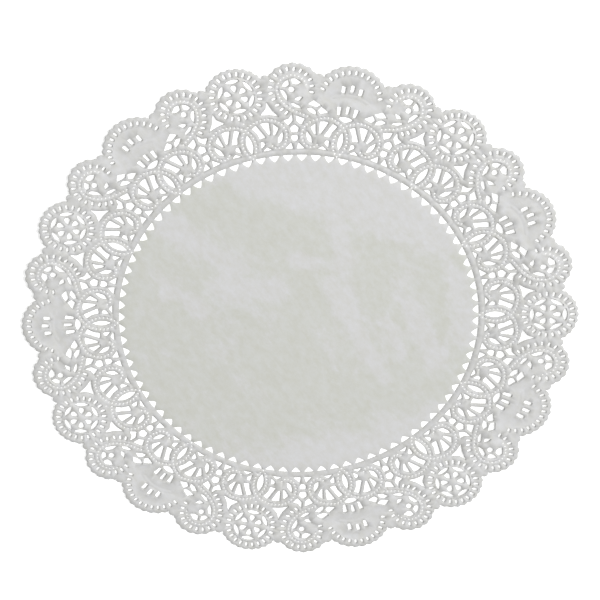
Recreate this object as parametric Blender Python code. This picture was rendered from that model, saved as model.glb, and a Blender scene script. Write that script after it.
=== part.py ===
"""A round paper lace doily, 254 mm across: one sheet, die-cut into seven equal repeats.

The plan is worked out in millimetres with the origin at the doily's centre and the middle of the
first rosette on +Y. The sheet rests on z = 0. Angles are in degrees, clockwise from +Y.
"""

import math
from collections import namedtuple

import bpy

MM = 0.001  # metres in a millimetre

REPEATS = 7
REPEAT = 360 / REPEATS
FAN_AXIS = REPEAT / 2  # a fan stands half a repeat from each rosette
NET_AXIS = REPEAT / 4  # a strip of net runs half-way between a rosette's axis and a fan's

THICKNESS = 1.0
OUTER_RADIUS = 127.0
TRIANGLES_ROUND = 12 * REPEATS  # the zigzag inside the plain band
BAND_INNER = 82.1  # foot of the plain band, where the zigzag's triangles hang from it

# Interlaced rings: one each side of every axis, cut by two ovals of the same size where they cross.
RING_X, RING_Y = 7.18, 89.93
RING_INNER, RING_OUTER = 8.55, 11.85

# The rim's scallops, each a circle: its axis's angle, its place across and along that axis, radius.
Scallop = namedtuple("Scallop", "axis across along radius")
ROSETTE = Scallop(0, 0.0, 112.4, 14.6)
BEAD_NEAR_ROSETTE = Scallop(0, 14.3, 118.6, 1.9)
CURL = Scallop(0, 25.1, 111.1, 12.5)
BEAD_NEAR_FAN = Scallop(FAN_AXIS, -15.5, 118.3, 2.1)
FAN = Scallop(FAN_AXIS, 0.0, 110.3, 16.5)
HALF_RIM = (ROSETTE, BEAD_NEAR_ROSETTE, CURL, BEAD_NEAR_FAN, FAN)
RIM_STEP = 2.6  # longest straight stretch along a scallop

# Cut-outs with corners: the axis they are measured from, how many stand around the doily, whether
# each has a mirror image across that axis's repeat, and the corners across and along the axis.
Cutout = namedtuple("Cutout", "name axis around mirrored corners")
CUTOUTS = (
    Cutout("fan spoke gap", 0, 14, True, ((3.1, 96.7), (4.9, 97.9), (7.9, 91.2), (5.0, 91.1), (4.3, 94.0))),
    Cutout("top spoke gap", 0, 14, True, ((6.5, 98.3), (8.7, 98.4), (10.9, 97.9), (10.1, 92.6), (8.9, 92.6))),
    Cutout("side spoke gap", 0, 14, True, ((15.5, 92.5), (15.7, 90.4), (14.7, 88.1), (12.5, 86.8), (13.1, 90.4))),
    Cutout("net window", NET_AXIS, 14, False, ((-1.6, 93.2), (-2.1, 95.4), (0, 97.0), (2.1, 95.4), (1.6, 93.2))),
    Cutout("net pane", NET_AXIS, 14, False, ((-0.7, 88.7), (-1.7, 89.6), (-1.2, 91.8), (1.2, 91.8), (1.7, 89.6), (0.7, 88.7))),
    Cutout("gap under the rosette", 0, 7, True, ((12.3, 106.8), (8.4, 102.3), (12.2, 101.6), (15.4, 100.1), (13.4, 103.2))),
    Cutout("gap under the curl", 0, 7, True, ((17.2, 97.5), (20.0, 97.5), (21.5, 98.9), (21.3, 96.2), (19.0, 94.8))),
    Cutout("gap over the ring", 0, 7, True, ((23.1, 98.5), (27.0, 95.9), (24.6, 93.3), (22.7, 95.4))),
    Cutout("gap beside the fan", 0, 7, True, ((29.6, 102.4), (33.4, 103.5), (35.4, 101.0), (33.0, 100.0), (31.5, 101.1))),
    Cutout("gap at the fan's foot", 0, 7, True, ((33.4, 98.6), (35.7, 99.5), (37.6, 95.9), (33.7, 96.7))),
)
CORNER_CUT = 0.22  # a sharp corner is cut back by this part of its shorter side
SHARP = 112.0

# The zigzag's triangle: across and below the band's foot.
TRIANGLE = ((-2.35, 0), (2.35, 0), (1.4, -1.8), (0, -2.8), (-1.4, -1.8))


def turned(points, clockwise):
    """Points turned about the doily's centre."""
    angle = math.radians(clockwise)
    c, s = math.cos(angle), math.sin(angle)
    return [(x * c + y * s, y * c - x * s) for x, y in points]


def flipped(points):
    """Points mirrored in the Y axis, still running the same way round."""
    return [(-x, y) for x, y in reversed(points)]


def arc(cx, cy, radius, start, end, steps):
    """Points on a circle from one angle (radians, anticlockwise from +X) to another."""
    angles = [start + (end - start) * i / steps for i in range(steps + 1)]
    return [(cx + radius * math.cos(a), cy + radius * math.sin(a)) for a in angles]


def chamfered(corners):
    """A closed outline with each sharp corner replaced by two points."""
    points = []
    for i, (x, y) in enumerate(corners):
        ends = corners[i - 1], corners[(i + 1) % len(corners)]
        sides = [(ex - x, ey - y, math.dist((x, y), (ex, ey))) for ex, ey in ends]
        (ax, ay, a), (bx, by, b) = sides
        if (ax * bx + ay * by) / (a * b) < math.cos(math.radians(SHARP)):
            points.append((x, y))
            continue
        cut = CORNER_CUT * min(a, b)
        points += [(x + dx * cut / side, y + dy * cut / side) for dx, dy, side in sides]
    return points


def oval():
    """The pointed oval inside both of two crossing rings."""
    tip = math.acos(RING_X / RING_INNER)
    right = arc(-RING_X, RING_Y, RING_INNER, -tip, tip, 6)
    return right[:-1] + [(-x, 2 * RING_Y - y) for x, y in right[:-1]]


def arch():
    """The gap between a fan's foot and the two rings under it."""
    top = [(2.0, 101.6), (0.0, 102.0), (-2.0, 101.6)]
    side = arc(-RING_X, RING_Y, RING_OUTER, math.atan2(11.1, 4.0), math.atan2(9.43, RING_X), 2)
    return top + side + [(-x, y) for x, y in side[-2::-1]]


def around(points, count, axis=0.0, mirrored=False):
    """Copies of one outline spread evenly around the doily."""
    own = turned(points, axis)
    copies = [own, flipped(own)] if mirrored else [own]
    return [turned(copy, i * 360 / count) for i in range(count) for copy in copies]


def cutouts():
    """Every gap that is cut through the sheet."""
    found = around(oval(), 2 * REPEATS)
    found += around(arch(), REPEATS, FAN_AXIS)
    for cut in CUTOUTS:
        found += around(chamfered(cut.corners), cut.around, cut.axis, cut.mirrored)
    triangle = [(x, BAND_INNER + y) for x, y in TRIANGLE]
    found += around(triangle, TRIANGLES_ROUND, 180 / TRIANGLES_ROUND)
    return found


def crossing(a, b):
    """Where two scallops' circles cross, on the outside of the doily. Circles are (x, y, radius)."""
    dx, dy = b[0] - a[0], b[1] - a[1]
    span = math.hypot(dx, dy)
    along = (span * span + a[2] ** 2 - b[2] ** 2) / (2 * span)
    out = math.sqrt(a[2] ** 2 - along * along)
    ux, uy = dx / span, dy / span
    return a[0] + ux * along - uy * out, a[1] + uy * along + ux * out


def rim():
    """The doily's scalloped outline: every scallop's arc, from crossing to crossing."""
    circles = [(*turned([(s.across, s.along)], s.axis)[0], s.radius) for s in HALF_RIM]
    mirror = [(*turned([(-x, y)], REPEAT)[0], r) for x, y, r in circles[-2:0:-1]]
    repeat = circles + mirror
    points = []
    for i, (x, y, radius) in enumerate(repeat):
        next_one = repeat[i + 1] if i + 1 < len(repeat) else (*turned([repeat[0][:2]], REPEAT)[0], repeat[0][2])
        last_one = repeat[i - 1] if i else (*turned([repeat[-1][:2]], -REPEAT)[0], repeat[-1][2])
        first = crossing(last_one, (x, y, radius))
        last = crossing((x, y, radius), next_one)
        start = math.atan2(first[1] - y, first[0] - x)
        end = math.atan2(last[1] - y, last[0] - x)
        sweep = (start - end) % math.tau
        steps = max(2, round(sweep * radius / RIM_STEP))
        points += arc(x, y, radius, start, start - sweep, steps)[:-1]
    return [p for i in range(REPEATS) for p in turned(points, i * REPEAT)]


def paper():
    """Bleached, slightly grey-white embossed paper."""
    material = bpy.data.materials.new("bleached paper")
    material.use_nodes = True
    shader = material.node_tree.nodes["Principled BSDF"]
    shader.inputs["Base Color"].default_value = (0.78, 0.78, 0.77, 1)
    shader.inputs["Roughness"].default_value = 0.75
    shader.inputs["Metallic"].default_value = 0.0
    return material


def sheet(name, outlines):
    """A flat sheet standing on z = 0: the first outline filled, the others left open."""
    curve = bpy.data.curves.new(name, "CURVE")
    curve.dimensions = "2D"
    curve.fill_mode = "BOTH"
    curve.extrude = THICKNESS / 2 * MM
    for outline in outlines:
        spline = curve.splines.new("POLY")
        spline.points.add(len(outline) - 1)
        for point, (x, y) in zip(spline.points, outline):
            point.co = (x * MM, y * MM, 0, 1)
        spline.use_cyclic_u = True
    curve.materials.append(paper())
    obj = bpy.data.objects.new(name, curve)
    obj.location.z = THICKNESS / 2 * MM
    return obj


def main():
    for obj in list(bpy.data.objects):
        bpy.data.objects.remove(obj)
    collection = bpy.data.collections.new("lace doily")
    bpy.context.scene.collection.children.link(collection)
    collection.objects.link(sheet("paper_doily", [rim()] + cutouts()))


main()
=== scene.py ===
"""The looks of a round paper lace doily: one thin sheet, embossed and die-cut, lying on a pale floor.

The plan is worked out in millimetres from the doily's centre, with the middle of the first rosette
on +Y, as in the solid. Angles are in degrees, clockwise from +Y unless a table says otherwise.
"""

import math
from collections import namedtuple

import bpy
import numpy as np
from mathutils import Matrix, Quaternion, Vector
from mathutils.geometry import delaunay_2d_cdt
from mathutils.kdtree import KDTree


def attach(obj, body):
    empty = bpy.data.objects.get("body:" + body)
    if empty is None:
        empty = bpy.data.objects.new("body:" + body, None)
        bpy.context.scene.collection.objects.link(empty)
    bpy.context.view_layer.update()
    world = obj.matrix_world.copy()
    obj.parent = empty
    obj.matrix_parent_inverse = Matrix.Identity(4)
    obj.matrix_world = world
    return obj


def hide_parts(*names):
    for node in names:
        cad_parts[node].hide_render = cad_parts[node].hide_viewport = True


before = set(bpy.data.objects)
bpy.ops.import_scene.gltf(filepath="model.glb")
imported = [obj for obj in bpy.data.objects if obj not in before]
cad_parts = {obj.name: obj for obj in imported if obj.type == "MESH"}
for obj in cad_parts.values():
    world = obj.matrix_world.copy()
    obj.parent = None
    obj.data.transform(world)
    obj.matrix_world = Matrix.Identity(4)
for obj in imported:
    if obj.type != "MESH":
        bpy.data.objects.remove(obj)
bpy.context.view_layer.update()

MM = 0.001  # metres in a millimetre

# --- the plan's sizes -----------------------------------------------------------------------------

REPEATS = 7
REPEAT = 360 / REPEATS
FAN_AXIS = REPEAT / 2
NET_AXIS = REPEAT / 4
DIAMETER = 254.0

TRIANGLES_ROUND = 12 * REPEATS
BAND_INNER, BAND_OUTER = 82.1, 84.8  # the plain band between the zigzag and the rings

# Interlaced rings, a mirrored pair on every rosette's axis and on every fan's. A ring's dotted line
# crosses its neighbour's low and high on the axis, goes over its top and winds in to a solid disc. Its
# places are angles anticlockwise from +X and distances from the ring's centre.
RING_X, RING_Y, RING_INNER = 7.18, 89.93, 8.55  # its centre, and its hole's radius
Ring = namedtuple("Ring", "axis oval_rise oval_widening over_the_top")
RINGS = (
    Ring(
        0, -0.25, 0.15,
        (
            (135, 10.05), (108, 9.85), (90, 10.0), (78, 10.3), (60, 10.65),
            (37, 10.85), (10, 10.4), (-7, 9.7),
        ),
    ),
    Ring(
        FAN_AXIS, 0.25, -0.12,
        (
            (135, 10.15), (108, 10.2), (98, 10.7), (82, 10.5), (60, 10.4),
            (44, 10.65), (30, 10.75), (8, 10.3), (-7, 9.7),
        ),
    ),
)
LOW_CROSSING = (225, 10.2)
RING_TAIL = ((15.4, 86.4), (13.8, 85.4), (12.0, 85.1), (10.5, 85.8), (9.8, 86.9))

# Rim scallops: axis, place across and along it, radius, picots round a full circle (0 for none).
Scallop = namedtuple("Scallop", "axis across along radius picots")
ROSETTE = Scallop(0, 0.0, 112.4, 14.25, 27)
BEAD_NEAR_ROSETTE = Scallop(0, 14.3, 118.6, 1.8, 0)
CURL = Scallop(0, 25.1, 111.1, 12.15, 19)
BEAD_NEAR_FAN = Scallop(FAN_AXIS, -15.5, 118.3, 2.0, 0)
FAN = Scallop(FAN_AXIS, 0.0, 110.3, 16.15, 28)
HALF_RIM = (ROSETTE, BEAD_NEAR_ROSETTE, CURL, BEAD_NEAR_FAN, FAN)
PICOT_RISE, PICOT_MIDDLE = 0.8, 0.6  # a picot's height, and the part of it inside the scallop's radius
RIM_STEP = 0.85  # between the rim's points

# Openings drawn by their corners across and along an axis: how many stand around the doily, and
# whether each has a mirror image.
Cutout = namedtuple("Cutout", "name axis around mirrored corners")
CUTOUTS = (
    Cutout("fan spoke gap", 0, 14, True, ((2.6, 96.9), (5.0, 98.1), (7.9, 91.3), (5.0, 91.0), (4.4, 93.9))),
    Cutout("top spoke gap", 0, 14, True, ((6.8, 98.3), (8.8, 98.5), (10.9, 98.0), (10.2, 92.2), (9.2, 92.2))),
    Cutout(
        "narrow spoke gap", 0, 14, True,
        ((12.5, 97.1), (14.5, 94.4), (12.1, 91.3), (11.2, 91.5), (11.9, 94.0)),
    ),
    Cutout(
        "side spoke gap", 0, 14, True,
        ((15.7, 92.6), (15.5, 90.2), (14.4, 87.9), (12.0, 86.9), (12.9, 90.0)),
    ),
    Cutout("oval-side spoke gap", 0, 14, True, ((4.9, 89.8), (6.5, 89.6), (6.9, 88.0), (4.5, 86.2))),
    Cutout("foot spoke gap", 0, 14, True, ((4.6, 84.9), (7.2, 86.7), (9.4, 84.8))),
    Cutout(
        "net window", NET_AXIS, 14, False,
        ((-1.5, 93.0), (-2.0, 95.4), (0, 97.0), (2.0, 95.4), (1.5, 93.0)),
    ),
    Cutout(
        "net pane", NET_AXIS, 14, False,
        ((-0.7, 88.6), (-1.6, 89.9), (-1.45, 91.8), (1.45, 91.8), (1.6, 89.9), (0.7, 88.6)),
    ),
    Cutout("net foot", NET_AXIS, 14, True, ((-4.6, 85.0), (-1.5, 88.4), (-0.6, 85.0))),
    Cutout(
        "gap under the rosette", 0, 7, True,
        ((12.15, 108.2), (11.1, 104.8), (7.9, 102.2), (12.2, 101.35), (15.8, 99.8), (13.6, 103.4)),
    ),
    Cutout(
        "gap under the curl", 0, 7, True,
        ((17.1, 97.5), (19.7, 97.7), (21.8, 100.0), (21.4, 96.4), (18.8, 94.4)),
    ),
    Cutout("gap over the ring", 0, 7, True, ((23.1, 98.7), (26.8, 95.9), (24.4, 93.4), (22.7, 95.6))),
    Cutout(
        "gap beside the fan", 0, 7, True,
        ((29.5, 102.5), (32.7, 103.7), (35.3, 100.4), (33.0, 99.9), (31.2, 101.1)),
    ),
    Cutout(
        "gap below the curl's tail", 0, 7, True,
        ((28.4, 100.5), (30.9, 100.5), (32.4, 98.2), (31.9, 96.4), (29.8, 98.0)),
    ),
    Cutout("gap at the fan's foot", 0, 7, True, ((33.0, 98.4), (35.2, 99.8), (37.6, 96.1), (33.8, 96.3))),
    Cutout(
        "curl, top left", 0, 7, True,
        ((20.5, 113.4), (21.9, 115.0), (24.1, 115.9), (24.0, 113.3), (22.1, 112.4)),
    ),
    Cutout(
        "curl, top right", 0, 7, True,
        ((25.2, 113.4), (25.3, 115.9), (27.4, 115.6), (29.5, 112.9), (27.0, 112.5)),
    ),
    Cutout(
        "curl, left", 0, 7, True,
        ((19.3, 112.0), (21.1, 111.4), (21.9, 108.7), (21.1, 105.8), (19.9, 108.9)),
    ),
    Cutout("curl, low leaf", 0, 7, True, ((24.1, 106.0), (26.1, 106.9), (28.5, 106.6), (26.2, 104.7))),
    Cutout(
        "curl, tail leaf", 0, 7, True,
        ((22.2, 104.5), (23.6, 104.7), (26.1, 102.3), (26.3, 101.0), (23.6, 102.5)),
    ),
    Cutout(
        "upper fan slot", FAN_AXIS, 7, False,
        ((-0.9, 117.5), (0.9, 117.5), (0.8, 114.2), (-0.8, 114.2)),
    ),
    Cutout(
        "upper side fan slot", FAN_AXIS, 7, True,
        ((3.0, 116.4), (4.9, 116.5), (4.6, 113.2), (2.9, 113.1)),
    ),
    Cutout(
        "lower fan slot", FAN_AXIS, 7, False,
        ((-0.85, 107.4), (0.85, 107.4), (0.6, 103.4), (-0.6, 103.4)),
    ),
    Cutout(
        "lower side fan slot", FAN_AXIS, 7, True,
        ((2.9, 106.7), (5.0, 106.5), (4.2, 102.5), (2.8, 102.3)),
    ),
)
# The gap between a fan's foot and the two rings under it, from its right corner in to the fan's axis, and
# from its left side down to it.
ARCH_TOP = ((3.2, 101.2), (2.3, 101.8), (1.2, 102.15), (0.0, 102.25))
ARCH_FOOT = ((-2.6, 100.6), (-1.7, 99.95), (-0.8, 99.55), (0.0, 99.45))
# How far from its tip a corner starts to round: in mm, and at most as a part of the shorter side.
ROUNDING, MOST_ROUNDING = 0.5, 0.4
INSET = 0.12  # paper left inside the drawn outlines by the blunt die

# Triangles of the zigzag, across and along from the band's foot.
TRIANGLE = ((-2.55, 0.1), (2.55, 0.1), (1.3, -1.8), (0, -3.0), (-1.3, -1.8))

# Small shapes repeated round a centre: the shape's distance from it, and its own size.
ROSETTE_CENTRE = (0.0, 113.5)
ROSETTE_SLOTS, SLOT_RADIUS, SLOT_LENGTH, SLOT_BULGE = 6, 7.1, 6.2, 0.86
PETAL_RADIUS = 3.65
PETAL = ((0.0, -1.7), (0.9, -0.3), (1.25, 0.85), (0.75, 1.6), (-0.75, 1.6), (-1.25, 0.85), (-0.9, -0.3))
CURL_CENTRE, CURL_EYE, CURL_EYE_RADIUS = (24.3, 111.4), (24.35, 110.95), 1.22
FAN_CENTRE = (0.0, 110.0)
SLIT_WIDTH = 0.9
Slits = namedtuple("Slits", "axis centre radius length first pitch count mirrored")  # first and pitch: angles
RIM_SLITS = (
    Slits(0, ROSETTE_CENTRE, 10.6, 2.1, 0, 360 / 23, 23, False),
    Slits(0, CURL_CENTRE, 9.15, 1.9, 115, -18.7, 13, True),
    Slits(FAN_AXIS, FAN_CENTRE, 13.35, 1.9, -75.0, 12.5, 13, False),
)
# Single slits beside the curl's tail, each with its mirror image.
Slit = namedtuple("Slit", "across along length turn")
TAIL_SLITS = (Slit(16.5, 105.2, 2.0, 85), Slit(17.9, 102.7, 2.0, 68), Slit(19.5, 100.7, 2.0, 52))

# Dotted lines: short dashes cut across the line, between two embossed ridges.
DASH_LENGTH, DASH_WIDTH = 0.84, 0.54
CROSSING_PITCH, RING_PITCH, CURL_PITCH = 1.78, 1.67, 1.7
RING_STEP = 3  # degrees between the points of a ring's dotted line
ARC_STEPS = 40  # of a curl's dotted line, and of every groove
CURL_RING = ((24.7, 111.1), 6.55, 85, -80)  # centre, radius, first and last angle
CURL_TAIL = ((18.2, 110.0), (18.6, 107.6), (19.7, 105.3), (21.7, 102.5), (24.2, 100.1), (28.2, 97.0))
LONE_DOTS = ((0.0, 100.2),)

# Embossed lines with no cut in them: axis, centre, radius, first and last angle, mirrored.
Groove = namedtuple("Groove", "axis centre radius first last mirrored")
GROOVES = (
    Groove(0, ROSETTE_CENTRE, 9.0, 0, 360, False),
    Groove(0, CURL_CENTRE, 7.75, 118, -100, True),
)
FAINT_GROOVES = (
    Groove(FAN_AXIS, FAN_CENTRE, 11.7, -76, 76, False),
    Groove(FAN_AXIS, (0.0, 97.0), 16.3, -34, 34, False),
    Groove(FAN_AXIS, (0.0, 97.0), 14.5, -30, 30, False),
)

# --- relief ---------------------------------------------------------------------------------------

PAPER = 0.16  # thickness
RELIEF = 0.85  # height of an embossed bead over a cut edge
SHARP_FROM = 65  # degrees between two faces from which the edge between them isn't smoothed
BEAD = ((0.0, 0.0), (0.42, 1.0), (0.7, 0.9), (1.15, 0.62))  # distance from a cut, part of RELIEF
RIM_BEAD = ((0.0, 0.45), (0.42, 0.85), (0.7, 0.8), (1.15, 0.62))  # the same for the sheet's outline
FLAT = BEAD[-1][1]
RIDGE_OFFSET = 1.05  # from a dotted line to the ridge on each side of it
RIDGE = ((0.0, 0.5), (0.45, 0.62), (1.05, 1.0), (1.6, 0.35), (2.2, 0.62))  # distance from a dotted line
DISC_RADIUS = BAND_INNER - 0.05
DISC_BEAD = 0.15  # how much of the bead the plain disc's teeth have
GROOVE = ((0.0, 0.25), (0.35, 0.6), (0.75, 1.0))  # distance from a groove, times the rest
FAINT_GROOVE = ((0.0, 0.72), (0.6, 1.0))
# How much shade is painted on the paper: 0 along the middle of a dotted line, where a highlight is painted,
# and 1 for the darkest painted shade.
CUT_SHADE = ((0.0, 0.82), (0.3, 0.66), (0.62, 0.3))  # painted shade along a cut, by distance from it
DOTTED_HIGHLIGHT_AND_SHADE = ((0.0, 0.0), (0.6, 0.0), (1.05, 0.54), (1.45, 0.45), (2.0, 0.3))  # by distance from a dotted line: a painted highlight on it, painted shade on the ridges beside it
# Painted shade along a groove, by distance from it.
GROOVE_SHADE = ((0.0, 0.8), (0.5, 0.3))
DISC_TONE = 0.36
# What is added to that: by the distance from the doily's centre, from a rosette's and from a fan's.
RADIAL_TONE = ((103.0, 0.09), (107.0, 0.0))
ROSETTE_TONE, FAN_TONE = ((12.0, -0.08), (15.5, 0.0)), ((7.0, 0.08), (12.0, 0.0))
# How far from a dotted line its own tone holds, and how much sooner the tone of a cut beside it ends.
DOTTED_REACH, BESIDE_DOTS = 1.9, 1.3
# Paler paper in the plain disc: past a line (its direction, distance and width), and in streaks (both
# ends and the half width).
PALE_SIDES = (((0.55, 0.83), 47, 13), ((0, -1), 54, 20))
PALE_STREAKS = (
    ((-46, 60), (-22, 32), 6),
    ((-30, 26), (-8, 17), 6),
    ((17, 15), (31, -42), 3.5),
    ((29, 44), (28, 24), 5),
    ((6, 30), (14, 27), 3.5),
    ((39, -10), (42, -30), 2.5),
    ((51, -8), (56, -38), 4),
    ((74, 2), (71, -26), 6),
    ((-54, 28), (-42, 14), 3),
)
# How far the rim curls up, and how far it is pulled out: the mean, the change round the rim, where it is
# most, and the radii between which it grows.
LIFT, UNEVEN_LIFT, LIFTED_MOST, LIFTED = 1.0, 0.8, 110, (84, 124)
PULL, UNEVEN_PULL, PULLED_MOST, PULLED = 0.37, 0.5, 125, (111, 123)
WAVES = ((0.16, 150, 20, 0.4), (0.12, 96, 105, 2.1), (0.08, 61, 160, 4.4))  # height, length, direction, phase


def turned(points, clockwise):
    """Points turned about the doily's centre."""
    angle = math.radians(clockwise)
    c, s = math.cos(angle), math.sin(angle)
    return [(x * c + y * s, y * c - x * s) for x, y in points]


def flipped(points):
    """Points mirrored in the Y axis, still running the same way round."""
    return [(-x, y) for x, y in reversed(points)]


def placed(points, centre, out=0.0, clockwise=0.0):
    """A shape drawn about the origin, moved out along +Y, turned and set about a centre."""
    moved = turned([(x, y + out) for x, y in points], clockwise)
    return [(x + centre[0], y + centre[1]) for x, y in moved]


def around(points, count=REPEATS, axis=0.0, mirrored=False):
    """Copies of one outline spread evenly around the doily."""
    own = turned(points, axis)
    copies = [own, flipped(own)] if mirrored else [own]
    return [turned(copy, i * 360 / count) for i in range(count) for copy in copies]


def arc(centre, radius, first, last, steps):
    """Points on a circle between two angles, clockwise from +Y."""
    angles = [math.radians(first + (last - first) * i / steps) for i in range(steps + 1)]
    return [(centre[0] + radius * math.sin(a), centre[1] + radius * math.cos(a)) for a in angles]


def rounded(corners):
    """A closed outline with each corner turned into a short curve."""
    points = []
    for i, (x, y) in enumerate(corners):
        ends = corners[i - 1], corners[(i + 1) % len(corners)]
        sides = [math.dist((x, y), end) for end in ends]
        cut = min(ROUNDING, MOST_ROUNDING * min(sides))
        a, b = ((x + (ex - x) * cut / side, y + (ey - y) * cut / side) for (ex, ey), side in zip(ends, sides))
        middle = ((a[0] + b[0]) / 4 + x / 2, (a[1] + b[1]) / 4 + y / 2)
        points += [a, middle, b]
    return points


def along(path, pitch, closed=False):
    """Points at an even pitch along a polyline, both ends included."""
    line = np.array(path + [path[0]] if closed else path, float)
    run = np.concatenate([[0], np.cumsum(np.hypot(*np.diff(line, axis=0).T))])
    steps = max(1, round(run[-1] / pitch))
    places = np.linspace(0, run[-1], steps + 1)[: steps if closed else None]
    return list(zip(np.interp(places, run, line[:, 0]), np.interp(places, run, line[:, 1])))


def split_long_sides(outline, longest=1.4):
    """The same outline with extra points on its long straight sides."""
    points = []
    for i, a in enumerate(outline):
        b = outline[(i + 1) % len(outline)]
        steps = max(1, math.ceil(math.dist(a, b) / longest))
        points += [(a[0] + (b[0] - a[0]) * j / steps, a[1] + (b[1] - a[1]) * j / steps) for j in range(steps)]
    return points


# --- openings -------------------------------------------------------------------------------------


def slit(length, width):
    """A straight slit with round ends, lengthwise along +Y."""
    half, end = length / 2, width / 2
    corner = end * 0.4
    right = [(corner, half), (end, half - end * 0.7), (end, end * 0.7 - half), (corner, -half)]
    return right + [(-x, -y) for x, y in right]


def dash():
    """A short cut across a dotted line that runs along +Y."""
    long, wide = DASH_LENGTH / 2, DASH_WIDTH / 2
    flat = long * 0.6
    return [(long, 0), (flat, wide), (-flat, wide), (-long, 0), (-flat, -wide), (flat, -wide)]


def lens(length, bulge):
    """A pointed slot across +Y, its two sides bowed alike."""
    half = length / 2
    radius = (half * half + bulge * bulge) / (2 * bulge)
    sweep = math.degrees(math.asin(half / radius))
    top = arc((0, bulge - radius), radius, -sweep, sweep, 6)[:-1]
    return top + [(-x, -y) for x, y in top]


def oval(rise, widening):
    """The pointed oval inside both of two crossing rings."""
    radius, middle = RING_INNER + widening, RING_Y + rise
    tip = 90 - math.degrees(math.acos(RING_X / radius))
    right = arc((-RING_X, middle), radius, tip, 180 - tip, 9)[:-1]
    return right + [(-x, 2 * middle - y) for x, y in right]


def arch():
    """The gap under a fan's foot, set on the fan's axis."""
    return [p for half in (ARCH_TOP, ARCH_FOOT) for p in half + tuple((-x, y) for x, y in half[-2::-1])]


def large_openings():
    found = []
    for ring in RINGS:
        found += around(oval(ring.oval_rise, ring.oval_widening), axis=ring.axis)
    found += around(arch(), axis=FAN_AXIS)
    for cut in CUTOUTS:
        found += around(rounded(cut.corners), cut.around, cut.axis, cut.mirrored)
    triangle = rounded([(x, BAND_INNER + y) for x, y in TRIANGLE])
    found += around(triangle, TRIANGLES_ROUND, 180 / TRIANGLES_ROUND)
    found = [offset(anticlockwise(outline), INSET) for outline in found]
    for i in range(ROSETTE_SLOTS):
        turn = i * 360 / ROSETTE_SLOTS
        found += around(placed(lens(SLOT_LENGTH, SLOT_BULGE), ROSETTE_CENTRE, SLOT_RADIUS, turn))
        found += around(placed(rounded(PETAL), ROSETTE_CENTRE, PETAL_RADIUS, turn))
    found += around(arc(CURL_EYE, CURL_EYE_RADIUS, 0, 360, 12)[:-1], mirrored=True)
    return [split_long_sides(outline) for outline in found]


def slits():
    found = []
    for rim in RIM_SLITS:
        for i in range(rim.count):
            one = placed(slit(rim.length, SLIT_WIDTH), rim.centre, rim.radius, rim.first + i * rim.pitch)
            found += around(one, axis=rim.axis, mirrored=rim.mirrored)
    for s in TAIL_SLITS:
        for side in (1, -1):
            found += around(placed(slit(s.length, SLIT_WIDTH), (side * s.across, s.along), 0, side * s.turn))
    return [split_long_sides(outline) for outline in found]


def dotted_lines():
    """The paths that the dashes follow, with the pitch of each."""

    def on_ring(turns):
        degrees, radii = zip(*turns)
        places = np.arange(degrees[0], degrees[-1] - 0.1, -RING_STEP)
        distances = np.interp(-places, [-a for a in degrees], radii)
        angles = np.radians(places)
        return [(RING_X + d * math.cos(a), RING_Y + d * math.sin(a)) for a, d in zip(angles, distances)]

    found = []
    for ring in RINGS:
        crossing_arc = on_ring((LOW_CROSSING, ring.over_the_top[0]))
        winding = on_ring(ring.over_the_top) + list(RING_TAIL)
        found += [(line, CROSSING_PITCH) for line in around(crossing_arc, axis=ring.axis, mirrored=True)]
        found += [(line, RING_PITCH) for line in around(winding, axis=ring.axis, mirrored=True)]
    centre, radius, first, last = CURL_RING
    curl = arc(centre, radius, first, last, ARC_STEPS) + list(CURL_TAIL)
    return found + [(line, CURL_PITCH) for line in around(curl, mirrored=True)]


def grooves(table):
    """The lines sunk into the paper round the scallops' middles."""
    found = []
    for g in table:
        line = arc(g.centre, g.radius, g.first, g.last, ARC_STEPS)
        found += around(line, axis=g.axis, mirrored=g.mirrored)
    return found


# --- rim ------------------------------------------------------------------------------------------


def crossing(a, b):
    """Where two circles (x, y, radius) cross, on the outside of the doily."""
    dx, dy = b[0] - a[0], b[1] - a[1]
    span = math.hypot(dx, dy)
    part = (span * span + a[2] ** 2 - b[2] ** 2) / (2 * span)
    out = math.sqrt(a[2] ** 2 - part * part)
    return a[0] + (dx * part - dy * out) / span, a[1] + (dy * part + dx * out) / span


def scallop(circle, picots, start, end):
    """A scallop's points from one crossing to the next, with its picots."""
    x, y, radius = circle
    first, last = (math.degrees(math.atan2(p[0] - x, p[1] - y)) for p in (start, end))
    sweep = (last - first) % 360
    steps = max(3, round(math.radians(sweep) * radius / RIM_STEP))
    middle = math.degrees(math.atan2(x, y))
    points = []
    for i in range(steps):
        angle = first + sweep * i / steps
        rise = abs(math.cos(math.radians((angle - middle) * picots / 2))) - PICOT_MIDDLE if picots else 0
        points += arc((x, y), radius + PICOT_RISE * rise, angle, angle, 1)[:1]
    return points


def rim():
    """The scalloped outline of the whole sheet."""
    half = [((*turned([(s.across, s.along)], s.axis)[0], s.radius), s.picots) for s in HALF_RIM]
    mirror = [((*turned([(-x, y)], REPEAT)[0], r), picots) for (x, y, r), picots in half[-2:0:-1]]
    repeat = half + mirror
    before = (*turned([repeat[-1][0][:2]], -REPEAT)[0], repeat[-1][0][2])
    after = (*turned([repeat[0][0][:2]], REPEAT)[0], repeat[0][0][2])
    circles = [before] + [circle for circle, _ in repeat] + [after]
    points = []
    for i, (circle, picots) in enumerate(repeat, 1):
        points += scallop(circle, picots, crossing(circles[i - 1], circle), crossing(circle, circles[i + 1]))
    return [p for i in range(REPEATS) for p in turned(points, i * REPEAT)]


# --- mesh -----------------------------------------------------------------------------------------

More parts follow.
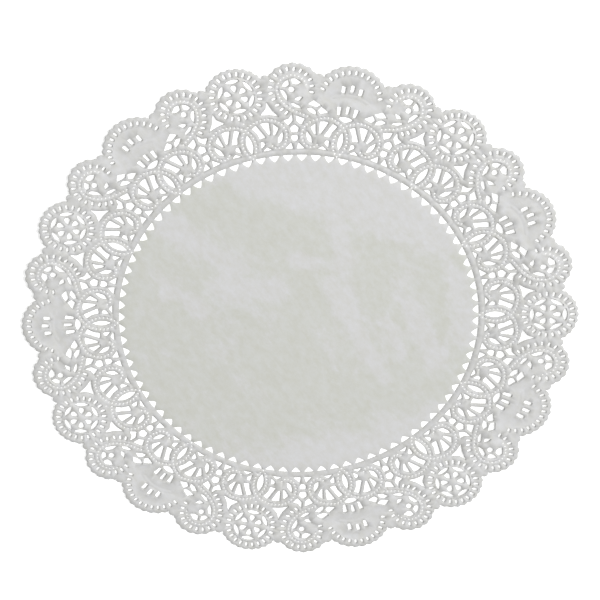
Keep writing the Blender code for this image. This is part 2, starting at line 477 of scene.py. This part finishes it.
LOOP_STEP, LINE_STEP = 0.2, 0.3  # between the points that distances are measured to
EDGE_CLEAR = 0.27  # closest that a point inside the paper comes to a cut
DASH_APART, DASH_TO_CUT, DASH_CLEAR = 1.25, 0.3, 0.2  # a dash from the next, a cut, and other points
CREST, CREST_SPACING = 0.42, 0.48  # the mesh's line of high points inside a cut
RIDGE_FOOT = RIDGE_OFFSET + 0.65
RIDGE_SPACING, RIDGE_FOOT_SPACING = 0.5, 0.8
GROOVE_STEP, GROOVE_SIDE, GROOVE_SPACING = 1.6, 0.45, 0.43
BEAD_FOOT_SPACING, BEAD_FOOT_CLEAR = 1.0, 0.95
# The points that fill the rest: a grid's pitch and radii, its points' least spacing and distance to a cut.
Grid = namedtuple("Grid", "pitch inner outer spacing clear")
GRIDS = (Grid(2.1, BAND_INNER - 5, DIAMETER / 2, 1.4, 0.9), Grid(4.5, 0, BAND_INNER - 4, 3.0, 1.2))
ROW = 0.866  # between a hexagonal grid's rows, as a part of its pitch
MERGED = 1e-5  # points closer than this become one

Plan = namedtuple("Plan", "outline openings cuts lines deep faint")
Trees = namedtuple("Trees", "inner border dotted deep faint")


def tree_of(lines, closed=False):
    """A search tree of points spread finely along lines."""
    points = [p for line in lines for p in along(line, LOOP_STEP if closed else LINE_STEP, closed)]
    tree = KDTree(len(points))
    for i, (x, y) in enumerate(points):
        tree.insert((x, y, 0), i)
    tree.balance()
    return tree


def distance(tree, x, y):
    return tree.find((x, y, 0))[2]


def to_edge(trees, x, y):
    return min(distance(trees.inner, x, y), distance(trees.border, x, y))


def offset(outline, by, closed=True):
    """Points to the left of a line's points, at a distance from it."""
    points = []
    for i, (x, y) in enumerate(outline):
        before, after = outline[i - 1], outline[(i + 1) % len(outline)]
        if not closed and i in (0, len(outline) - 1):
            before, after = outline[max(i - 1, 0)], outline[min(i + 1, len(outline) - 1)]
        dx, dy = after[0] - before[0], after[1] - before[1]
        length = math.hypot(dx, dy)
        points.append((x - dy / length * by, y + dx / length * by))
    return points


class Spread:
    """Points kept at least a spacing apart, found through a grid of cells."""

    def __init__(self, cell):
        self.cell, self.cells, self.points = cell, {}, []

    def near(self, x, y, spacing):
        reach = math.ceil(spacing / self.cell)
        cx, cy = math.floor(x / self.cell), math.floor(y / self.cell)
        return any(
            (px - x) ** 2 + (py - y) ** 2 < spacing * spacing
            for i in range(cx - reach, cx + reach + 1)
            for j in range(cy - reach, cy + reach + 1)
            for px, py in self.cells.get((i, j), ())
        )

    def add(self, x, y):
        self.cells.setdefault((math.floor(x / self.cell), math.floor(y / self.cell)), []).append((x, y))
        self.points.append((x, y))


def hexagonal(pitch, inner, outer):
    """A hexagonal grid of points between two radii."""
    rows = int(outer / (pitch * ROW)) + 1
    for j in range(-rows, rows + 1):
        for i in range(-rows - 1, rows + 2):
            x, y = (i + j % 2 / 2) * pitch, j * pitch * ROW
            if inner <= math.hypot(x, y) <= outer:
                yield x, y


def area(outline):
    """Signed area, positive where the outline runs anticlockwise."""
    x, y = np.array(outline).T
    return float(np.sum(np.roll(x, 1) * y - x * np.roll(y, 1)) / 2)


def anticlockwise(outline):
    return outline if area(outline) > 0 else outline[::-1]


def level(table, at):
    """A table's value at each distance, in a straight line between its rows."""
    return np.interp(at, *zip(*table))


def eased(value, first, last):
    """0 up to the first value and 1 from the last on, with a smooth rise between them."""
    t = np.clip((value - first) / (last - first), 0, 1)
    return t * t * (3 - 2 * t)


def from_scallop(points, scallop):
    """How far each point is from the middle of the nearest scallop of one kind."""
    radius, clockwise = np.hypot(*points.T), np.degrees(np.arctan2(*points.T))
    angle = np.radians((clockwise - scallop.axis + REPEAT / 2) % REPEAT - REPEAT / 2)
    return np.hypot(radius * np.sin(angle) - scallop.across, radius * np.cos(angle) - scallop.along)


def paleness(x, y):
    """How much a place on the plain disc belongs to the paler, colder patches of the paper."""
    found = [(x * across + y * up - start) / width for (across, up), start, width in PALE_SIDES]
    for (ax, ay), (bx, by), width in PALE_STREAKS:
        t = ((x - ax) * (bx - ax) + (y - ay) * (by - ay)) / ((bx - ax) ** 2 + (by - ay) ** 2)
        t = min(1, max(0, t))
        found.append(math.exp(-(math.dist((x, y), (ax + (bx - ax) * t, ay + (by - ay) * t)) / width) ** 2))
    return min(1, max(*found, 0))


def drawn_plan():
    """Everything that is cut, dotted or embossed, with every closed outline running anticlockwise."""
    openings = [anticlockwise(loop) for loop in large_openings()]
    cuts = [anticlockwise(loop) for loop in slits()]
    band = [arc((0, 0), radius, 0, 360, 360) for radius in (BAND_INNER, BAND_OUTER)]
    deep = grooves(GROOVES) + band
    return Plan(anticlockwise(rim()), openings, cuts, dotted_lines(), deep, grooves(FAINT_GROOVES))


def trees_of(plan):
    return Trees(
        inner=tree_of(plan.openings + plan.cuts, closed=True),
        border=tree_of([plan.outline], closed=True),
        dotted=tree_of([line for line, _ in plan.lines]),
        deep=tree_of(plan.deep),
        faint=tree_of(plan.faint),
    )


def cut_dashes(lines, trees):
    """The dashes along the dotted lines, each kept clear of what is cut already, and their middles."""
    # A lone dot is a line too short for a second dash.
    lone = [([(x, y), (x, y + 0.01)], 1) for place in LONE_DOTS for ((x, y),) in around([place])]
    middles, dashes = Spread(cell=1.0), []
    for line, pitch in lines + lone:
        places = along(line, pitch)
        for i, (x, y) in enumerate(places):
            if to_edge(trees, x, y) > DASH_LENGTH / 2 + DASH_TO_CUT and not middles.near(x, y, DASH_APART):
                (ax, ay), (bx, by) = places[max(i - 1, 0)], places[min(i + 1, len(places) - 1)]
                middles.add(x, y)
                dashes.append(placed(dash(), (x, y), 0, math.degrees(math.atan2(bx - ax, by - ay))))
    return [anticlockwise(loop) for loop in dashes], middles


def inside_points(plan, trees, dashes):
    """Points inside the paper: the beads' crests, the ridges, the grooves, and grids for the rest."""
    inside = Spread(cell=0.6)

    def offer(points, spacing, clear=EDGE_CLEAR):
        for x, y in points:
            if to_edge(trees, x, y) > clear and not dashes.near(x, y, DASH_LENGTH / 2 + DASH_CLEAR):
                if not inside.near(x, y, spacing):
                    inside.add(x, y)

    def into_paper(loop, by):
        return offset(loop, by if loop is plan.outline else -by)

    for loop in plan.openings + plan.cuts + [plan.outline]:
        offer(into_paper(loop, CREST), CREST_SPACING)
    for line, pitch in plan.lines:
        steady = along(line, pitch / 2)
        for side in (RIDGE_OFFSET, -RIDGE_OFFSET, 0):
            offer(offset(steady, side, False), RIDGE_SPACING)
        for side in (RIDGE_FOOT, -RIDGE_FOOT):
            offer(offset(steady, side, False), RIDGE_FOOT_SPACING)
    for line in plan.deep + plan.faint:
        steady = along(line, GROOVE_STEP)
        for side in (0, GROOVE_SIDE, -GROOVE_SIDE):
            offer(offset(steady, side, False), GROOVE_SPACING)
    for loop in plan.openings + [plan.outline]:
        offer(into_paper(loop, BEAD[-1][0]), BEAD_FOOT_SPACING, BEAD_FOOT_CLEAR)
    for grid in GRIDS:
        offer(hexagonal(grid.pitch, grid.inner, grid.outer), grid.spacing, grid.clear)
    return inside.points


def triangulated(loops, points):
    """The paper's points and triangles, where the first loop is its outline and the others are its holes."""
    corners, faces = [], []
    for loop in loops:
        faces.append(list(range(len(corners), len(corners) + len(loop))))
        corners += loop
    found = delaunay_2d_cdt([Vector(p) for p in corners + points], [], faces, 1, MERGED, True)
    places, _, triangles, _, _, owners = found
    kept = [t for t, owner in zip(triangles, owners) if list(owner) == [0]]
    used = sorted({i for t in kept for i in t})
    index = {old: new for new, old in enumerate(used)}
    return np.array([places[i][:2] for i in used]), np.array([[index[i] for i in t] for t in kept])


def embossed(top, trees):
    """How high each point stands, as a part of RELIEF, how much shade or highlight is painted on it, and
    whether it is on the disc.
    """
    inner, border, dot, deep, faint = (np.array([distance(tree, x, y) for x, y in top]) for tree in trees)
    cut, radius = np.minimum(inner, border), np.hypot(*top.T)
    on_disc = radius < DISC_RADIUS

    bead = np.where(border < inner, level(RIM_BEAD, border), level(BEAD, inner))
    bead = np.where(on_disc, FLAT + (bead - FLAT) * DISC_BEAD, bead)
    ridge = np.minimum(level(BEAD[:2], cut), level(RIDGE, dot))
    height = np.where(dot < RIDGE[-1][0], ridge, bead)
    height *= level(GROOVE, deep) * level(FAINT_GROOVE, faint)

    # Painted shade along cuts and grooves and on the ridges beside dotted lines, and a painted highlight
    # along the dotted lines' middles.
    tone = np.maximum(level(CUT_SHADE, cut), level(GROOVE_SHADE, deep))
    beside = np.minimum(tone, level(CUT_SHADE, cut * BESIDE_DOTS))
    tone = np.where(dot < DOTTED_REACH, np.maximum(level(DOTTED_HIGHLIGHT_AND_SHADE, dot), beside), tone)
    tone += level(RADIAL_TONE, radius)
    tone += level(ROSETTE_TONE, from_scallop(top, ROSETTE)) + level(FAN_TONE, from_scallop(top, FAN))
    return height, np.clip(np.where(on_disc, DISC_TONE, tone), 0, 1), on_disc


def laid(top):
    """The plan with its rim pulled out, and how high its underside lies before it is embossed."""
    radius, turn = np.hypot(*top.T), np.arctan2(*top.T)
    wave = 0
    for rise, length, direction, phase in WAVES:
        across = top @ turned([(0, 1)], direction)[0]
        wave = wave + rise * np.sin(2 * math.pi * across / length + phase)
    lift = LIFT + UNEVEN_LIFT * np.cos(2 * (turn - math.radians(LIFTED_MOST)))
    pull = PULL + UNEVEN_PULL * np.cos(turn - math.radians(PULLED_MOST))
    pulled = top * (1 + pull * eased(radius, *PULLED) / np.maximum(radius, 1))[:, None]
    return pulled, wave + lift * eased(radius, *LIFTED)


def closed_sheet(plan, low, triangles):
    """Points in metres and faces of two layers, joined by walls along every edge."""
    points = np.vstack([np.column_stack([plan, low + PAPER]), np.column_stack([plan, low])]) * MM
    n = len(plan)
    ends = np.concatenate([triangles[:, [0, 1]], triangles[:, [1, 2]], triangles[:, [2, 0]]])
    forward = {(a, b) for a, b in ends.tolist()}
    walls = [[b, a, a + n, b + n] for a, b in forward if (b, a) not in forward]
    return points, triangles.tolist() + (triangles[:, ::-1] + n).tolist() + walls


def sheet_object():
    plan = drawn_plan()
    trees = trees_of(plan)
    dashes, middles = cut_dashes(plan.lines, trees)
    loops = [plan.outline] + plan.openings + plan.cuts + dashes
    top, triangles = triangulated(loops, inside_points(plan, trees, middles))
    height, dark, on_disc = embossed(top, trees)
    pulled, low = laid(top)
    low = low + RELIEF * height
    points, faces = closed_sheet(pulled, low - low.min(), triangles)
    pale = [max(paleness(x, y), 1 - on) for (x, y), on in zip(top.tolist(), on_disc)]

    mesh = bpy.data.meshes.new("lace_sheet")
    mesh.from_pydata(points.tolist(), [], faces)
    mesh.polygons.foreach_set("use_smooth", [True] * len(mesh.polygons))
    mesh.set_sharp_from_angle(angle=math.radians(SHARP_FROM))
    # Painted shade and highlight, and paleness, kept on every point of both layers.
    for name, values in (("painted_shade_and_highlight", dark), ("pale", pale)):
        mesh.attributes.new(name, "FLOAT", "POINT").data.foreach_set("value", [*values, *values])
    obj = bpy.data.objects.new("lace_sheet", mesh)
    bpy.context.scene.collection.objects.link(obj)
    count = sum(len(face) - 2 for face in faces)
    print("lace sheet:", len(points), "points,", count, "triangles,", len(dashes), "dashes")
    return obj


# --- paper, floor, light and camera ---------------------------------------------------------------

GRAIN = 20  # degrees from +Y, the way the paper's clouds and creases run
THIN, THICK = (0.703, 0.711, 0.671, 1), (0.748, 0.748, 0.745, 1)  # the paper's colour by how its fibres lie
MOTTLE = (0.955, 0.95, 0.915, 1), (1.045, 1.05, 1.085, 1)  # what the finer mottle multiplies it by
DARKEST_PAINTED_SHADE = (0.66, 0.66, 0.642, 1)  # and the darkest painted shade


def paper_material():
    """White wood-pulp paper: cloudy where the fibres lie thicker, with shade painted along cuts, grooves and
    ridges and a highlight painted along dotted lines.
    """
    material = bpy.data.materials.new("embossed_paper")
    material.use_nodes = True
    nodes, links = material.node_tree.nodes, material.node_tree.links
    shader = nodes["Principled BSDF"]
    shader.inputs["Roughness"].default_value = 0.62
    place = nodes.new("ShaderNodeTexCoord").outputs["Object"]

    def stretched(stretch):
        """The place in the sheet, so that what is drawn there comes out long along the grain."""
        node = nodes.new("ShaderNodeMapping")
        node.vector_type = "TEXTURE"
        node.inputs["Scale"].default_value = (1, stretch, 1)
        node.inputs["Rotation"].default_value = (0, 0, math.radians(GRAIN))
        links.new(place, node.inputs["Vector"])
        return node.outputs["Vector"]

    def noise(vector, scale, detail, roughness, distortion=0.0):
        node = nodes.new("ShaderNodeTexNoise")
        node.inputs["Scale"].default_value = scale
        node.inputs["Detail"].default_value = detail
        node.inputs["Roughness"].default_value = roughness
        node.inputs["Distortion"].default_value = distortion
        links.new(vector, node.inputs["Vector"])
        return node.outputs["Fac"]

    def ranged(value, low, high, to_low=0.0, to_high=1.0, smooth=True):
        node = nodes.new("ShaderNodeMapRange")
        node.interpolation_type = "SMOOTHSTEP" if smooth else "LINEAR"
        for name, number in zip(("From Min", "From Max", "To Min", "To Max"), (low, high, to_low, to_high)):
            node.inputs[name].default_value = number
        links.new(value, node.inputs["Value"])
        return node.outputs["Result"]

    def mixed(factor, a, b, blend="MIX"):
        node = nodes.new("ShaderNodeMix")
        node.data_type, node.blend_type = "RGBA", blend
        node.inputs["Factor"].default_value = 1.0
        for socket, value in zip((node.inputs["Factor"], node.inputs["A"], node.inputs["B"]), (factor, a, b)):
            if isinstance(value, bpy.types.NodeSocket):
                links.new(value, socket)
            else:
                socket.default_value = value
        return node.outputs["Result"]

    def attribute(name):
        node = nodes.new("ShaderNodeAttribute")
        node.attribute_name = name
        return node.outputs["Fac"]

    def added(a, b):
        node = nodes.new("ShaderNodeMath")
        links.new(a, node.inputs[0])
        links.new(b, node.inputs[1])
        return node.outputs[0]

    def bump(height, strength, rise):
        node = nodes.new("ShaderNodeBump")
        node.inputs["Strength"].default_value = strength
        node.inputs["Distance"].default_value = rise
        links.new(height, node.inputs["Height"])
        return node

    clouds = noise(stretched(1.8), scale=60, detail=10, roughness=0.76, distortion=0.4)
    clouds = ranged(added(clouds, ranged(attribute("pale"), 0, 1, -0.07, 0.2, False)), 0.43, 0.61)
    mottle = ranged(noise(stretched(1.5), scale=330, detail=6, roughness=0.7), 0.3, 0.7, smooth=False)
    # Painted shade and highlight: the stored amount takes the colour from white towards the darkest painted
    # shade.
    painted_shade_and_highlight = mixed(attribute("painted_shade_and_highlight"), (1, 1, 1, 1), DARKEST_PAINTED_SHADE)
    colour = mixed(1.0, mixed(clouds, THIN, THICK), mixed(mottle, *MOTTLE), "MULTIPLY")
    links.new(mixed(1.0, colour, painted_shade_and_highlight, "MULTIPLY"), shader.inputs["Base Color"])

    crumple = bump(noise(stretched(2.1), scale=90, detail=3, roughness=0.5, distortion=0.4), 0.6, 0.4 * MM)
    fibres = bump(noise(place, scale=2600, detail=5, roughness=0.7), 0.25, 0.1 * MM)
    links.new(crumple.outputs["Normal"], fibres.inputs["Normal"])
    links.new(fibres.outputs["Normal"], shader.inputs["Normal"])
    return material


def floor():
    bpy.ops.mesh.primitive_plane_add(size=6)
    plane = bpy.context.object
    plane.name = "floor"
    material = bpy.data.materials.new("pale_floor")
    material.use_nodes = True
    shader = material.node_tree.nodes["Principled BSDF"]
    shader.inputs["Base Color"].default_value = (0.93, 0.93, 0.93, 1)
    shader.inputs["Roughness"].default_value = 0.9
    shader.inputs["Emission Color"].default_value = (1, 1, 1, 1)
    shader.inputs["Emission Strength"].default_value = 0.5
    plane.data.materials.append(material)


def towards(azimuth, elevation):
    """A unit vector out from the object: azimuth 0 is -Y and 90 is +X."""
    a, e = math.radians(azimuth), math.radians(elevation)
    return Vector((math.sin(a) * math.cos(e), -math.cos(a) * math.cos(e), math.sin(e)))


def lamp(name, azimuth, elevation, away, size, power):
    light = bpy.data.lights.new(name, "AREA")
    light.shape, light.size, light.energy = "DISK", size, power
    obj = bpy.data.objects.new(name, light)
    obj.location = towards(azimuth, elevation) * away
    obj.rotation_mode = "QUATERNION"
    obj.rotation_quaternion = (-obj.location).to_track_quat("-Z", "Y")
    bpy.context.scene.collection.objects.link(obj)


def studio():
    world = bpy.data.worlds.new("studio")
    world.use_nodes = True
    background = world.node_tree.nodes["Background"]
    background.inputs["Color"].default_value = (1, 1, 1, 1)
    background.inputs["Strength"].default_value = 0.34
    bpy.context.scene.world = world
    bpy.context.scene.view_settings.view_transform = "Standard"
    lamp("key", azimuth=119.4, elevation=55, away=3.2, size=0.9, power=84)


CAMERA_AZIMUTH, CAMERA_ELEVATION, CAMERA_ROLL = 167.18, 62.21, 178.65
CAMERA_DISTANCE, CAMERA_LENS = 1.184, 156.0
CAMERA_AIM = Vector((2.7, 8.85, 0)) * MM


def camera():
    data = bpy.data.cameras.new("camera")
    data.lens, data.sensor_width = CAMERA_LENS, 36
    obj = bpy.data.objects.new("camera", data)
    back = towards(CAMERA_AZIMUTH, CAMERA_ELEVATION)
    obj.location = CAMERA_AIM + back * CAMERA_DISTANCE
    obj.rotation_mode = "QUATERNION"
    roll = Quaternion((0, 0, 1), math.radians(CAMERA_ROLL))
    obj.rotation_quaternion = (-back).to_track_quat("-Z", "Y") @ roll
    bpy.context.scene.collection.objects.link(obj)
    bpy.context.scene.camera = obj


camera()
studio()
floor()
sheet = sheet_object()
sheet.data.materials.append(paper_material())
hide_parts("paper_doily")
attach(sheet, "root")
